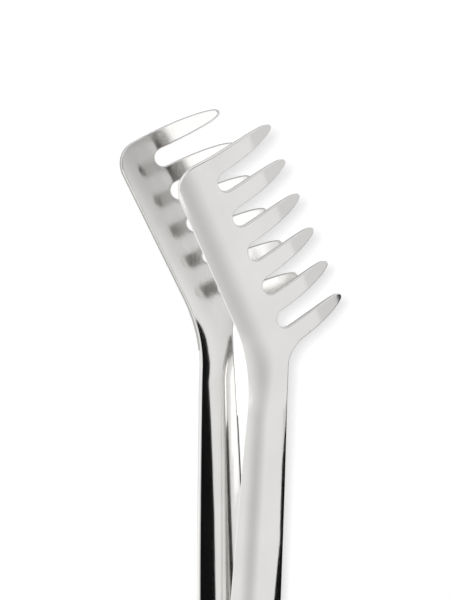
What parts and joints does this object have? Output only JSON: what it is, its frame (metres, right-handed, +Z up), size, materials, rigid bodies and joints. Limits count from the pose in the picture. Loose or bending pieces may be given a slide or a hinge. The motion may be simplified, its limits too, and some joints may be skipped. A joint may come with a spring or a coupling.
{
  "type": "spaghetti tongs",
  "caption": "Sprung kitchen tongs in polished steel for lifting spaghetti: two dished arms on a rivet hinge, each ending in a slanted comb of inward-curving tines.",
  "frame": {"origin": "on the surface that the tongs lie on, under the middle of their box", "axes": "+Y along the handles from the hinge to the heads, +X to the side that the tines point to, +Z up from the rear arm to the front arm"},
  "size_m": [0.0548, 0.245, 0.0629],
  "materials": {
    "polished_steel": "mirror-polished stainless steel sheet",
    "rivet_steel": "turned stainless steel",
    "washer_steel": "stamped stainless steel",
    "spring_steel": "drawn spring wire"
  },
  "bodies": {
    "rear_half": {"rear_arm": "polished_steel", "hinge_pin": "rivet_steel", "head_washer_left": "washer_steel", "head_washer_right": "washer_steel", "ear_washer_left": "washer_steel", "ear_washer_right": "washer_steel", "spring_bush": "rivet_steel", "torsion_spring": "spring_steel"},
    "front_half": {"front_arm": "polished_steel"}
  },
  "joints": [
    {"name": "arm_hinge", "type": "hinge", "parent": "rear_half", "child": "front_half", "pos_m": [0.00323, -0.11217, 0.01093], "axis": [-1, 0, 0], "range_deg": [0, 10.5], "stiffness_Nm_per_rad": 1.5, "springref_deg": -6.88, "deforming": ["torsion_spring"]}
  ]
}
